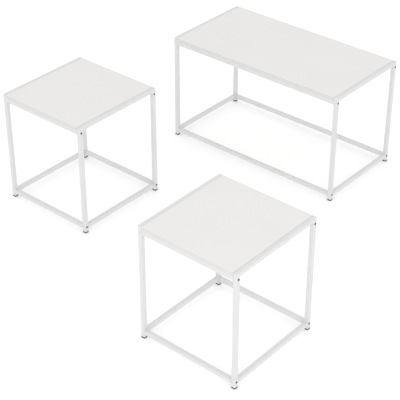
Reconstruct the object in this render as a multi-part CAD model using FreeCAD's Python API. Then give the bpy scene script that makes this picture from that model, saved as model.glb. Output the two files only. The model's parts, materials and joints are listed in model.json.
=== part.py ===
import FreeCAD, Part
import math
import os

# A set of three open-framed tables: one coffee table and two side tables of the same height.
# Every table has two welded end frames of square tube, four long rails bolted between them,
# and a board that lies on the upper long rails, level with the tops of the end frames.
# X runs along the coffee table, Y towards its back, Z up. Units are millimetres.

# Overall sizes of the tables
table_height = 450.0
coffee_length = 800.0
coffee_depth = 400.0
side_length = 400.0
side_depth = 400.0

# Places of the side tables' centres, seen from the coffee table's centre
left_side_offset_x = -366.0
left_side_offset_y = -771.0
front_side_offset_x = 600.0
front_side_offset_y = -1080.0

# Square steel tube
tube_size = 15.0
tube_wall = 1.2
tube_corner_radius = 1.2
lower_rail_underside = 17.5

# Board
panel_thickness = 15.0
panel_end_gap = 0.5
panel_edge_radius = 0.6

# Plastic feet
foot_flange_height = 5.0
foot_plug_length = 12.0
foot_plug_wall = 1.6
foot_plug_clearance = 0.1
foot_edge_chamfer = 0.5

# Bolts that hold the long rails to the end frames
bolt_diameter = 4.0
bolt_length = 30.0
bolt_head_diameter = 7.0
bolt_head_height = 2.2
bolt_socket_width = 2.5
bolt_socket_depth = 1.3
bolt_hole_clearance = 0.5
button_head_roundness = 0.75

# Threaded plugs pressed into the ends of the long rails
plug_length = 20.0
plug_corner_chamfer = 1.0
thread_clearance = 0.1

# Screws that hold the board down, driven up through the upper long rails
panel_screw_diameter = 4.0
panel_screw_bite = 10.0
pilot_hole_spare = 1.0
panel_screw_head_diameter = 8.0
panel_screw_head_height = 2.4
panel_screw_socket_width = 2.5
panel_screw_socket_depth = 1.3
panel_screw_clearance = 0.25
panel_screw_end_inset = 85.0
panel_screw_spacing_limit = 400.0

# Smallest difference between two places that counts
tolerance = 1e-6

# Values that follow from those above
bore_size = tube_size - 2 * tube_wall
foot_plug_size = bore_size - 2 * foot_plug_clearance
upper_long_rail_height = table_height - panel_thickness - tube_size / 2
lower_rail_height = lower_rail_underside + tube_size / 2
panel_underside = table_height - panel_thickness
left_and_right = (("left", -1), ("right", 1))
front_and_back = (("front", -1), ("back", 1))

os.makedirs("parts", exist_ok=True)


def runs_along_x(edge):
    """True when the two ends of a straight edge differ in X alone."""
    start = edge.Vertexes[0].Point
    end = edge.Vertexes[-1].Point
    return abs(start.y - end.y) < tolerance and abs(start.z - end.z) < tolerance


def square_bar(width, length, corner_radius=0.0):
    """A square bar along +X from x = 0, centred on the X axis, with its long edges rounded."""
    bar = Part.makeBox(length, width, width, FreeCAD.Vector(0, -width / 2, -width / 2))
    if corner_radius > 0:
        long_edges = [edge for edge in bar.Edges if runs_along_x(edge)]
        bar = bar.makeFillet(corner_radius, long_edges)
    return bar


def square_tube(length):
    """Hollow square tube along +X from x = 0, centred on the X axis."""
    outside = square_bar(tube_size, length, tube_corner_radius)
    return outside.cut(square_bar(bore_size, length))


def turned(shape, axis, degrees):
    """A copy of a shape, turned about an axis through the origin."""
    copy = shape.copy()
    copy.rotate(FreeCAD.Vector(0, 0, 0), FreeCAD.Vector(*axis), degrees)
    return copy


def moved(shape, x, y, z):
    """A copy of a shape, shifted."""
    copy = shape.copy()
    copy.translate(FreeCAD.Vector(x, y, z))
    return copy


def hexagon_prism(width_across_flats, depth):
    """A hexagonal prism along +Z from z = 0."""
    corner_distance = width_across_flats / math.sqrt(3)
    corners = []
    for step in range(7):
        angle = math.radians(60 * step)
        corners.append(FreeCAD.Vector(corner_distance * math.cos(angle), corner_distance * math.sin(angle), 0))
    return Part.Face(Part.makePolygon(corners)).extrude(FreeCAD.Vector(0, 0, depth))


def button_head_screw(shank_diameter, shank_length, head_diameter, head_height, socket_width, socket_depth):
    """A button-headed screw: its head stands on z = 0 and its shank runs down from there."""
    head = Part.makeCylinder(head_diameter / 2, head_height)
    rim = [edge for edge in head.Edges if edge.BoundBox.ZMin > head_height / 2]
    head = head.makeFillet(head_height * button_head_roundness, rim)
    shank = Part.makeCylinder(shank_diameter / 2, shank_length, FreeCAD.Vector(0, 0, -shank_length))
    socket = moved(hexagon_prism(socket_width, socket_depth), 0, 0, head_height - socket_depth)
    return head.fuse(shank).removeSplitter().cut(socket)


def mitre_cutter(outward, depth, keeps_rail):
    """The half of an upper frame corner, seen along X, that a mitred leg or end rail leaves to its partner.

    The mitre runs from the corner's outer top edge down to its inner bottom edge.
    """
    spare = tube_size
    outer_y = outward * depth / 2
    inner_y = outer_y - outward * tube_size
    top = (outer_y + outward * spare, table_height + spare)
    bottom = (inner_y - outward * spare, table_height - tube_size - spare)
    third = (top[0], bottom[1]) if keeps_rail else (bottom[0], top[1])
    points = [FreeCAD.Vector(-tube_size, y, z) for y, z in (top, bottom, third, top)]
    return Part.Face(Part.makePolygon(points)).extrude(FreeCAD.Vector(2 * tube_size, 0, 0))


def leg(outward, depth):
    """An upright of an end frame at x = 0, mitred at its top and drilled across for the two bolts."""
    upright = turned(square_tube(table_height - foot_flange_height), (0, 1, 0), -90)
    upright = moved(upright, 0, outward * (depth - tube_size) / 2, foot_flange_height)
    upright = upright.cut(mitre_cutter(outward, depth, keeps_rail=False))
    for height in (lower_rail_height, upper_long_rail_height):
        start = FreeCAD.Vector(-tube_size, outward * (depth - tube_size) / 2, height)
        hole_radius = (bolt_diameter + bolt_hole_clearance) / 2
        upright = upright.cut(Part.makeCylinder(hole_radius, 2 * tube_size, start, FreeCAD.Vector(1, 0, 0)))
    return upright


def upper_end_rail(depth):
    """The top bar of an end frame at x = 0, mitred at both ends and level with the table top."""
    rail = moved(turned(square_tube(depth), (0, 0, 1), 90), 0, -depth / 2, table_height - tube_size / 2)
    for name, outward in front_and_back:
        rail = rail.cut(mitre_cutter(outward, depth, keeps_rail=True))
    return rail


def lower_end_rail(depth):
    """The bottom bar of an end frame at x = 0, welded between the two legs."""
    rail = turned(square_tube(depth - 2 * tube_size), (0, 0, 1), 90)
    return moved(rail, 0, tube_size - depth / 2, lower_rail_height)


def screw_stations(rail_length):
    """Places of the panel screws along an upper long rail, from its middle."""
    span = rail_length - 2 * panel_screw_end_inset
    intervals = math.ceil(span / panel_screw_spacing_limit)
    return [span * (step / intervals - 0.5) for step in range(intervals + 1)]


def long_rail(rail_length):
    """A bar along X between the end frames, centred on the origin."""
    return moved(square_tube(rail_length), -rail_length / 2, 0, 0)


def upper_long_rail(rail_length):
    """A long rail drilled from below for the panel screws."""
    rail = long_rail(rail_length)
    hole_radius = panel_screw_diameter / 2 + panel_screw_clearance
    for x in screw_stations(rail_length):
        rail = rail.cut(Part.makeCylinder(hole_radius, 2 * tube_size, FreeCAD.Vector(x, 0, -tube_size)))
    return rail


def top_panel(length, depth):
    """The board between the end frames, with pilot holes for its screws."""
    rail_length = length - 2 * tube_size
    board_length = rail_length - 2 * panel_end_gap
    corner = FreeCAD.Vector(-board_length / 2, -depth / 2, panel_underside)
    board = Part.makeBox(board_length, depth, panel_thickness, corner)
    top_edges = [edge for edge in board.Edges if edge.BoundBox.ZMin > table_height - tolerance]
    board = board.makeFillet(panel_edge_radius, top_edges)
    hole_radius = (panel_screw_diameter + thread_clearance) / 2
    for name, outward in front_and_back:
        for x in screw_stations(rail_length):
            start = FreeCAD.Vector(x, outward * (depth - tube_size) / 2, panel_underside)
            board = board.cut(Part.makeCylinder(hole_radius, panel_screw_bite + pilot_hole_spare, start))
    return board


def foot():
    """A square cap under a leg, with a hollow plug that fits the leg's bore."""
    flange = turned(square_bar(tube_size, foot_flange_height, tube_corner_radius), (0, 1, 0), -90)
    sole_edges = [edge for edge in flange.Edges if edge.BoundBox.ZMax < tolerance]
    flange = flange.makeChamfer(foot_edge_chamfer, sole_edges)
    plug = square_bar(foot_plug_size, foot_plug_length)
    plug = plug.cut(square_bar(foot_plug_size - 2 * foot_plug_wall, foot_plug_length))
    plug = moved(turned(plug, (0, 1, 0), -90), 0, 0, foot_flange_height)
    return flange.fuse(plug).removeSplitter()


def threaded_plug():
    """The plug in the end of a long rail, along +X from x = 0, with a hole for the bolt."""
    plug = square_bar(bore_size, plug_length)
    long_edges = [edge for edge in plug.Edges if runs_along_x(edge)]
    plug = plug.makeChamfer(plug_corner_chamfer, long_edges)
    hole_radius = (bolt_diameter + thread_clearance) / 2
    along_x = FreeCAD.Vector(1, 0, 0)
    return plug.cut(Part.makeCylinder(hole_radius, plug_length, FreeCAD.Vector(0, 0, 0), along_x))


def bolts_and_plugs(length, depth):
    """The eight bolts of a table and the eight plugs that they screw into."""
    bolt = button_head_screw(
        bolt_diameter, bolt_length, bolt_head_diameter, bolt_head_height, bolt_socket_width, bolt_socket_depth)
    bolts = []
    plugs = []
    for side_name, side in left_and_right:
        for depth_name, outward in front_and_back:
            for z in (lower_rail_height, upper_long_rail_height):
                y = outward * (depth - tube_size) / 2
                bolts.append(moved(turned(bolt, (0, 1, 0), side * 90), side * length / 2, y, z))
                plug = turned(threaded_plug(), (0, 0, 1), 180) if side > 0 else threaded_plug()
                plugs.append(moved(plug, side * (length / 2 - tube_size), y, z))
    return bolts, plugs


def panel_screws(length, depth):
    """The screws that hold the board, with their heads under the upper long rails."""
    screw = button_head_screw(
        panel_screw_diameter, tube_size + panel_screw_bite, panel_screw_head_diameter,
        panel_screw_head_height, panel_screw_socket_width, panel_screw_socket_depth)
    screw = turned(screw, (1, 0, 0), 180)
    head_seat = upper_long_rail_height - tube_size / 2
    screws = []
    for name, outward in front_and_back:
        for x in screw_stations(length - 2 * tube_size):
            screws.append(moved(screw, x, outward * (depth - tube_size) / 2, head_seat))
    return screws


def table_pieces(length, depth):
    """Every piece of one table, by name, with the table's centre on the Z axis and its feet on z = 0."""
    pieces = {"top_panel": [top_panel(length, depth)]}
    for side_name, side in left_and_right:
        frame_x = side * (length - tube_size) / 2
        pieces[f"{side_name}_upper_end_rail"] = [moved(upper_end_rail(depth), frame_x, 0, 0)]
        pieces[f"{side_name}_lower_end_rail"] = [moved(lower_end_rail(depth), frame_x, 0, 0)]
        for depth_name, outward in front_and_back:
            leg_y = outward * (depth - tube_size) / 2
            pieces[f"{side_name}_{depth_name}_leg"] = [moved(leg(outward, depth), frame_x, 0, 0)]
            pieces[f"{side_name}_{depth_name}_foot"] = [moved(foot(), frame_x, leg_y, 0)]
    rail_length = length - 2 * tube_size
    for depth_name, outward in front_and_back:
        rail_y = outward * (depth - tube_size) / 2
        upper = moved(upper_long_rail(rail_length), 0, rail_y, upper_long_rail_height)
        lower = moved(long_rail(rail_length), 0, rail_y, lower_rail_height)
        pieces[f"{depth_name}_upper_long_rail"] = [upper]
        pieces[f"{depth_name}_lower_long_rail"] = [lower]
    pieces["frame_bolts"], pieces["threaded_plugs"] = bolts_and_plugs(length, depth)
    pieces["panel_screws"] = panel_screws(length, depth)
    return pieces


def set_centre(tables):
    """The middle of the box round the whole set, with the bolt heads that stand out of the end frames."""
    low_x = min(x - length / 2 for name, x, y, length, depth in tables) - bolt_head_height
    high_x = max(x + length / 2 for name, x, y, length, depth in tables) + bolt_head_height
    low_y = min(y - depth / 2 for name, x, y, length, depth in tables)
    high_y = max(y + depth / 2 for name, x, y, length, depth in tables)
    return (low_x + high_x) / 2, (low_y + high_y) / 2


tables = (
    ("coffee_table", 0.0, 0.0, coffee_length, coffee_depth),
    ("left_side_table", left_side_offset_x, left_side_offset_y, side_length, side_depth),
    ("front_side_table", front_side_offset_x, front_side_offset_y, side_length, side_depth),
)
centre_x, centre_y = set_centre(tables)
for table_name, table_x, table_y, table_length, table_depth in tables:
    for piece_name, solids in table_pieces(table_length, table_depth).items():
        placed = [moved(solid, table_x - centre_x, table_y - centre_y, 0) for solid in solids]
        shape = placed[0] if len(placed) == 1 else Part.makeCompound(placed)
        shape.exportStep(f"parts/{table_name}_{piece_name}.step")
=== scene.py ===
import json
import math

import bmesh
import bpy
from mathutils import Matrix, Vector


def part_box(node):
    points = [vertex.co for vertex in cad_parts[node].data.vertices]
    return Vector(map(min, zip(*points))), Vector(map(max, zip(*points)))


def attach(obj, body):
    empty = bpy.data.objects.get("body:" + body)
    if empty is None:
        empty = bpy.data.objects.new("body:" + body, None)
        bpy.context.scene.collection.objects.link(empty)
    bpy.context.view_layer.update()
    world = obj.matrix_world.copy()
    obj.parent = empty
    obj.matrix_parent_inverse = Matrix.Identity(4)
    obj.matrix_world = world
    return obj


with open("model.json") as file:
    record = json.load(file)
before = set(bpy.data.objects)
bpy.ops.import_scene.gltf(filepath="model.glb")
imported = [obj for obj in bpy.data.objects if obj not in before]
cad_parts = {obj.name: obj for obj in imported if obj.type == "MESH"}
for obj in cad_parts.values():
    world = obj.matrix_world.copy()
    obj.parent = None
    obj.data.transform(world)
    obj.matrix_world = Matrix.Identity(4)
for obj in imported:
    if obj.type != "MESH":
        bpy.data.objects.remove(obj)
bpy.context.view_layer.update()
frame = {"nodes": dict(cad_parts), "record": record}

TABLES = ("coffee_table", "left_side_table", "front_side_table")
SIDES = ("left", "right")

# Lengths and depths are in metres, and a pattern's scale is its features per metre.
# A pair of numbers is the lowest and the highest value.

# Weld beads
WELD_RADIUS = 0.0018
WELD_RIPPLE = 0.05
WELD_RIPPLE_PITCH = 0.0014
WELD_STEPS_PER_RIPPLE = 4
WELD_SEGMENTS = 12
WELD_WIDTH_SHARE = 0.8

# Powder coat on the tubes
POWDER_WHITE = (0.700, 0.707, 0.705)
POWDER_SHADE = (0.680, 0.687, 0.685)
POWDER_CLOUD_SCALE = 14
POWDER_SPECK = (0.60, 0.61, 0.605)
POWDER_SPECK_SCALE = 1500
POWDER_SPECK_START = 0.70
POWDER_SPECK_FULL = 0.76
# The edge colour is a painted highlight, lighter where the edges would catch the light
POWDER_PAINTED_HIGHLIGHT = (0.735, 0.742, 0.74)
POWDER_HIGHLIGHT_RADIUS = 0.0008
POWDER_ROUGHNESS = (0.38, 0.52)
POWDER_ROUGHNESS_SCALE = 60
PEEL_SCALE = 520
PEEL_DEPTH = 0.00012
POWDER_GRAIN_SCALE = 2400
POWDER_GRAIN_DEPTH = 0.00003

# Melamine-faced boards
BOARD_WHITE = (0.795, 0.787, 0.772)
BOARD_SHADE = (0.777, 0.769, 0.754)
BOARD_CLOUD_SCALE = 5
BOARD_ROUGHNESS = (0.40, 0.50)
BOARD_ROUGHNESS_SCALE = 34
# The upright edges' colour is painted shade: darker than the face because less light falls on them
BOARD_UPRIGHT_PAINTED_SHADE = (0.67, 0.668, 0.66)
PAINTED_SHADE_FULL_UPWARD = 0.4
PAINTED_SHADE_NONE_UPWARD = 0.9
FIBRE_SCALE = 260
FIBRE_STRETCH = (0.15, 1, 1)
FIBRE_SHADE = (0, 0.35)
FIBRE_DEPTH = 0.00005
PEARL_SCALE = 900
PEARL_DEPTH = 0.00008

# Plastic feet
FOOT_BLACK = (0.006, 0.006, 0.006)
FOOT_GREY = (0.014, 0.014, 0.014)
FOOT_CLOUD_SCALE = 240
FOOT_SCUFF = (0.03, 0.03, 0.029)
FOOT_SCUFF_RADIUS = 0.0006
FOOT_ROUGHNESS = (0.48, 0.66)
FOOT_ROUGHNESS_SCALE = 500
FOOT_GRAIN_SCALE = 3200
FOOT_GRAIN_DEPTH = 0.00003

# Steel of the fasteners
BOLT_BLACK = (0.05, 0.05, 0.052)
BOLT_BROWNED = (0.055, 0.05, 0.047)
BOLT_EDGE = (0.30, 0.30, 0.30)
BOLT_METAL = 0.85
BOLT_ROUGHNESS = (0.32, 0.48)
ZINC = (0.60, 0.61, 0.63)
ZINC_DULL = (0.50, 0.51, 0.52)
ZINC_EDGE = (0.75, 0.75, 0.76)
ZINC_METAL = 1.0
ZINC_ROUGHNESS = (0.25, 0.4)
STAIN_SCALE = 420
STEEL_EDGE_RADIUS = 0.0004
STEEL_ROUGHNESS_SCALE = 700
BRUSHING_SCALE = 2400
BRUSHING_STRETCH = (0.2, 1, 1)
BRUSHING_DEPTH = 0.00002

# Floor
FLOOR_WHITE = (0.945, 0.945, 0.945)
FLOOR_SHADE = (0.935, 0.935, 0.935)
FLOOR_CLOUD_SCALE = 1.2
# The floor's glow is painted light: it fades the shadows on the floor and lights the tables from below
FLOOR_GLOW = 0.12
FLOOR_HALF_SIZE = 24.0
FLOOR_DROP = 0.0002

# Light
ROOM_STRENGTH = 1.0
KEY_PLACE = (2.9, -3.3, 2.2)
KEY_TARGET = (0.2, -0.2, 0.3)
KEY_SIZE = 2.6
KEY_POWER = 30.0

# Camera: where it stands, how far it is turned from straight along +Y, and how far it looks down
CAMERA_PLACE = (2.499, -3.041, 2.632)
CAMERA_TURN = math.radians(40.42)
CAMERA_TILT = math.radians(33.22)
CAMERA_LENS = 111.3
CAMERA_SENSOR_WIDTH = 36

# Most of a noise's values lie between these
NOISE_LOW = 0.3
NOISE_HIGH = 0.7

# Which sockets of Blender's Mix node hold colours
MIX_FIRST_COLOUR = 6
MIX_SECOND_COLOUR = 7
MIXED_COLOUR = 2

# How an edge is found: the agreement of the rounded and the true normal on it, and away from it
EDGE_AGREEMENT = 0.75
FLAT_AGREEMENT = 0.995
EDGE_SAMPLES = 6


# Materials

class Nodes:
    """Adds shader nodes to a new material and joins them."""

    def __init__(self, name):
        self.material = bpy.data.materials.new(name)
        self.material.use_nodes = True
        self.tree = self.material.node_tree
        self.shader = self.tree.nodes["Principled BSDF"]
        coordinates = self.add("ShaderNodeTexCoord")
        self.place = coordinates.outputs["Object"]
        self.facing = coordinates.outputs["Normal"]

    def add(self, kind, **settings):
        node = self.tree.nodes.new(kind)
        for name, value in settings.items():
            setattr(node, name, value)
        return node

    def join(self, output, node_input):
        self.tree.links.new(output, node_input)

    def finish(self, colour, roughness, normal, **values):
        """Joins the patterns to the shader, and sets what is the same all over."""
        self.join(colour, self.shader.inputs["Base Color"])
        self.join(roughness, self.shader.inputs["Roughness"])
        self.join(normal, self.shader.inputs["Normal"])
        self.set(**values)
        return self.material

    def set(self, **values):
        for name, value in values.items():
            self.shader.inputs[name.replace("_", " ")].default_value = value

    def noise(self, scale, detail=3.0, stretch=(1, 1, 1)):
        """Noise from 0 to 1, with a grain of about 1 / scale metres."""
        mapping = self.add("ShaderNodeMapping")
        mapping.inputs["Scale"].default_value = stretch
        self.join(self.place, mapping.inputs["Vector"])
        texture = self.add("ShaderNodeTexNoise")
        texture.inputs["Scale"].default_value = scale
        texture.inputs["Detail"].default_value = detail
        self.join(mapping.outputs["Vector"], texture.inputs["Vector"])
        return texture.outputs["Fac"]

    def spread(self, value, low=0, high=1, start=NOISE_LOW, end=NOISE_HIGH):
        """Maps a value between start and end to the range from low to high."""
        ramp = self.add("ShaderNodeMapRange")
        ramp.inputs["From Min"].default_value = start
        ramp.inputs["From Max"].default_value = end
        ramp.inputs["To Min"].default_value = low
        ramp.inputs["To Max"].default_value = high
        self.join(value, ramp.inputs["Value"])
        return ramp.outputs["Result"]

    def mix(self, factor, first, second):
        """Blends two colours, each a value or another node's output."""
        node = self.add("ShaderNodeMix", data_type="RGBA")
        self.join(factor, node.inputs["Factor"])
        for colour, number in ((first, MIX_FIRST_COLOUR), (second, MIX_SECOND_COLOUR)):
            if isinstance(colour, tuple):
                node.inputs[number].default_value = (*colour, 1)
            else:
                self.join(colour, node.inputs[number])
        return node.outputs[MIXED_COLOUR]

    def bump(self, height, depth, below=None):
        """A bump of a given depth, laid over another bump."""
        node = self.add("ShaderNodeBump")
        node.inputs["Distance"].default_value = depth
        node.inputs["Strength"].default_value = 1
        self.join(height, node.inputs["Height"])
        if below is not None:
            self.join(below, node.inputs["Normal"])
        return node.outputs["Normal"]

    def edges(self, radius):
        """1 on a sharp edge and 0 away from it, from how far a rounded normal leaves the true one."""
        rounded = self.add("ShaderNodeBevel", samples=EDGE_SAMPLES)
        rounded.inputs["Radius"].default_value = radius
        true = self.add("ShaderNodeNewGeometry").outputs["Normal"]
        agreement = self.add("ShaderNodeVectorMath", operation="DOT_PRODUCT")
        self.join(rounded.outputs["Normal"], agreement.inputs[0])
        self.join(true, agreement.inputs[1])
        return self.spread(agreement.outputs["Value"], 1, 0, EDGE_AGREEMENT, FLAT_AGREEMENT)

    def upward(self):
        """1 on a face that looks straight up or down, and 0 on an upright one."""
        split = self.add("ShaderNodeSeparateXYZ")
        self.join(self.facing, split.inputs["Vector"])
        height = self.add("ShaderNodeMath", operation="ABSOLUTE")
        self.join(split.outputs["Z"], height.inputs[0])
        return height.outputs[0]


def powder_coat():
    """Satin powder coat on steel: a fine orange peel with small specks, and a painted highlight that
    makes the edges lighter.
    """
    nodes = Nodes("white_powder_coat")
    clouds = nodes.spread(nodes.noise(POWDER_CLOUD_SCALE, detail=4))
    tone = nodes.mix(clouds, POWDER_WHITE, POWDER_SHADE)
    specks = nodes.noise(POWDER_SPECK_SCALE, detail=1)
    specks = nodes.spread(specks, start=POWDER_SPECK_START, end=POWDER_SPECK_FULL)
    tone = nodes.mix(specks, tone, POWDER_SPECK)
    # Painted highlight: the edges get the lighter colour, as if they caught the light
    tone = nodes.mix(nodes.edges(POWDER_HIGHLIGHT_RADIUS), tone, POWDER_PAINTED_HIGHLIGHT)
    roughness = nodes.spread(nodes.noise(POWDER_ROUGHNESS_SCALE), *POWDER_ROUGHNESS)
    peel = nodes.bump(nodes.noise(PEEL_SCALE, detail=2), PEEL_DEPTH)
    grain = nodes.bump(nodes.noise(POWDER_GRAIN_SCALE, detail=1), POWDER_GRAIN_DEPTH, below=peel)
    nodes.set(Coat_Weight=0.08, Coat_Roughness=0.25)
    return nodes.finish(tone, roughness, grain, Specular_IOR_Level=0.45)


def melamine_board():
    """Melamine-faced board: a smooth warm white face with a fine pearl, and painted shade that makes the
    upright edges greyer.
    """
    nodes = Nodes("white_board")
    clouds = nodes.spread(nodes.noise(BOARD_CLOUD_SCALE, detail=5))
    face = nodes.mix(clouds, BOARD_WHITE, BOARD_SHADE)
    fibre = nodes.noise(FIBRE_SCALE, stretch=FIBRE_STRETCH)
    face = nodes.mix(nodes.spread(fibre, *FIBRE_SHADE), face, BOARD_SHADE)
    # Painted shade: upright faces get the greyer colour, while faces that look up or down keep the white
    unshaded_face = nodes.spread(nodes.upward(), start=PAINTED_SHADE_FULL_UPWARD, end=PAINTED_SHADE_NONE_UPWARD)
    tone = nodes.mix(unshaded_face, BOARD_UPRIGHT_PAINTED_SHADE, face)
    roughness = nodes.spread(nodes.noise(BOARD_ROUGHNESS_SCALE, detail=4), *BOARD_ROUGHNESS)
    pearl = nodes.bump(nodes.noise(PEARL_SCALE, detail=2), PEARL_DEPTH)
    relief = nodes.bump(fibre, FIBRE_DEPTH, below=pearl)
    return nodes.finish(tone, roughness, relief, Specular_IOR_Level=0.3)


def moulded_plastic():
    """Matt black moulded plastic, with a fine spark-eroded grain and dusty, scuffed edges."""
    nodes = Nodes("black_foot")
    tone = nodes.mix(nodes.spread(nodes.noise(FOOT_CLOUD_SCALE)), FOOT_BLACK, FOOT_GREY)
    tone = nodes.mix(nodes.edges(FOOT_SCUFF_RADIUS), tone, FOOT_SCUFF)
    roughness = nodes.spread(nodes.noise(FOOT_ROUGHNESS_SCALE), *FOOT_ROUGHNESS)
    grain = nodes.bump(nodes.noise(FOOT_GRAIN_SCALE, detail=1), FOOT_GRAIN_DEPTH)
    return nodes.finish(tone, roughness, grain, Specular_IOR_Level=0.25)


def steel(name, base, stained, edge, metal, rough):
    """Turned steel with a finish: fine brushing, stains, and bright wear on the edges."""
    nodes = Nodes(name)
    tone = nodes.mix(nodes.spread(nodes.noise(STAIN_SCALE)), base, stained)
    tone = nodes.mix(nodes.edges(STEEL_EDGE_RADIUS), tone, edge)
    roughness = nodes.spread(nodes.noise(STEEL_ROUGHNESS_SCALE), *rough)
    brushing = nodes.bump(nodes.noise(BRUSHING_SCALE, stretch=BRUSHING_STRETCH), BRUSHING_DEPTH)
    return nodes.finish(tone, roughness, brushing, Metallic=metal)


def pale_floor():
    """A plain, nearly white studio floor, which also glows as painted light."""
    nodes = Nodes("studio_floor")
    tone = nodes.mix(nodes.spread(nodes.noise(FLOOR_CLOUD_SCALE)), FLOOR_WHITE, FLOOR_SHADE)
    nodes.join(tone, nodes.shader.inputs["Base Color"])
    nodes.set(Roughness=0.9, Specular_IOR_Level=0.1)
    # Painted light: the floor glows though it is no lamp, which fades its shadows and lights the
    # undersides
    nodes.set(Emission_Color=(1, 1, 1, 1), Emission_Strength=FLOOR_GLOW)
    return nodes.material


def finish_cad_nodes():
    """Gives every CAD node the material of its slot in the record."""
    materials = {
        "white_powder_coat": powder_coat(),
        "white_board": melamine_board(),
        "black_foot": moulded_plastic(),
        "dark_bolt": steel("dark_bolt", BOLT_BLACK, BOLT_BROWNED, BOLT_EDGE, BOLT_METAL, BOLT_ROUGHNESS),
        "zinc_steel": steel("zinc_steel", ZINC, ZINC_DULL, ZINC_EDGE, ZINC_METAL, ZINC_ROUGHNESS),
    }
    slots = {entry["node"]: entry["material_slot"] for entry in frame["record"]["subparts"]}
    for name, node in frame["nodes"].items():
        node.data.materials.clear()
        node.data.materials.append(materials[slots[name]])
    return materials


# Pieces that are added to the CAD nodes

def new_object(name, mesh, material):
    """Puts a finished bmesh into the scene as an object with one material."""
    data = bpy.data.meshes.new(name)
    mesh.to_mesh(data)
    mesh.free()
    data.materials.append(material)
    made = bpy.data.objects.new(name, data)
    bpy.context.scene.collection.objects.link(made)
    return made


def weld_bead(mesh, place, width):
    """A fillet weld along X in an inside corner, over a width about place.

    The bead is a round bar centred on the corner's line, so that only its outer quarter shows. It swells
    and narrows with the ripples that a torch leaves.
    """
    steps = round(width / WELD_RIPPLE_PITCH) * WELD_STEPS_PER_RIPPLE
    start = Matrix.Translation(place - Vector((width / 2, 0, 0))) @ Matrix.Rotation(math.pi / 2, 4, "Y")
    disc = bmesh.ops.create_circle(
        mesh, cap_ends=True, segments=WELD_SEGMENTS, radius=WELD_RADIUS, matrix=start)
    end = disc["verts"][0].link_faces[0]
    for step in range(1, steps + 1):
        made = bmesh.ops.extrude_face_region(mesh, geom=[end])["geom"]
        end = next(item for item in made if isinstance(item, bmesh.types.BMFace))
        swell = 1 + WELD_RIPPLE * math.sin(2 * math.pi * step / WELD_STEPS_PER_RIPPLE)
        centre = end.calc_center_median()
        change = swell * WELD_RADIUS / (end.verts[0].co - centre).length
        bmesh.ops.scale(mesh, vec=(1, change, change), verts=end.verts, space=Matrix.Translation(-centre))
        bmesh.ops.translate(mesh, vec=(width / steps, 0, 0), verts=end.verts)


def table_welds(table, material):
    """The beads on the end frames: above and below each lower end rail, and inside each upper corner."""
    mesh = bmesh.new()
    for side in SIDES:
        lower_low, lower_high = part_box(f"{table}_{side}_lower_end_rail")
        upper_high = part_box(f"{table}_{side}_upper_end_rail")[1]
        tube = lower_high.x - lower_low.x
        middle = (lower_low.x + lower_high.x) / 2
        for corner_y in (lower_low.y, lower_high.y):
            for corner_z in (lower_high.z, lower_low.z, upper_high.z - tube):
                weld_bead(mesh, Vector((middle, corner_y, corner_z)), tube * WELD_WIDTH_SHARE)
    bmesh.ops.recalc_face_normals(mesh, faces=mesh.faces)
    for face in mesh.faces:
        is_end = len(face.verts) == WELD_SEGMENTS
        face.smooth = not is_end
    beads = new_object(f"{table}_weld_beads", mesh, material)
    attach(beads, table)


# Studio

def studio_floor():
    """A pale floor just under the feet."""
    mesh = bmesh.new()
    bmesh.ops.create_grid(mesh, x_segments=1, y_segments=1, size=FLOOR_HALF_SIZE)
    bmesh.ops.translate(mesh, verts=mesh.verts, vec=(0, 0, -FLOOR_DROP))
    floor = new_object("studio_floor", mesh, pale_floor())


def studio_light():
    """A white room all round, and one large soft lamp high on the right that leaves no glare."""
    world = bpy.data.worlds.new("white_room")
    world.use_nodes = True
    background = world.node_tree.nodes["Background"]
    background.inputs["Color"].default_value = (1, 1, 1, 1)
    background.inputs["Strength"].default_value = ROOM_STRENGTH
    bpy.context.scene.world = world
    lamp = bpy.data.lights.new("key_light", "AREA")
    lamp.shape = "SQUARE"
    lamp.size = KEY_SIZE
    lamp.energy = KEY_POWER
    light = bpy.data.objects.new("key_light", lamp)
    light.location = KEY_PLACE
    light.rotation_euler = (Vector(KEY_TARGET) - Vector(KEY_PLACE)).to_track_quat("-Z", "Y").to_euler()
    light.visible_glossy = False
    bpy.context.scene.collection.objects.link(light)


def studio_camera():
    """The camera, which looks down on the set from its front right."""
    lens = bpy.data.cameras.new("studio_camera")
    lens.sensor_width = CAMERA_SENSOR_WIDTH
    lens.lens = CAMERA_LENS
    camera = bpy.data.objects.new("studio_camera", lens)
    camera.location = CAMERA_PLACE
    camera.rotation_euler = (math.pi / 2 - CAMERA_TILT, 0, CAMERA_TURN)
    bpy.context.scene.collection.objects.link(camera)
    bpy.context.scene.camera = camera
    bpy.context.scene.view_settings.view_transform = "Standard"


materials = finish_cad_nodes()
for table in TABLES:
    table_welds(table, materials["white_powder_coat"])
studio_floor()
studio_light()
studio_camera()
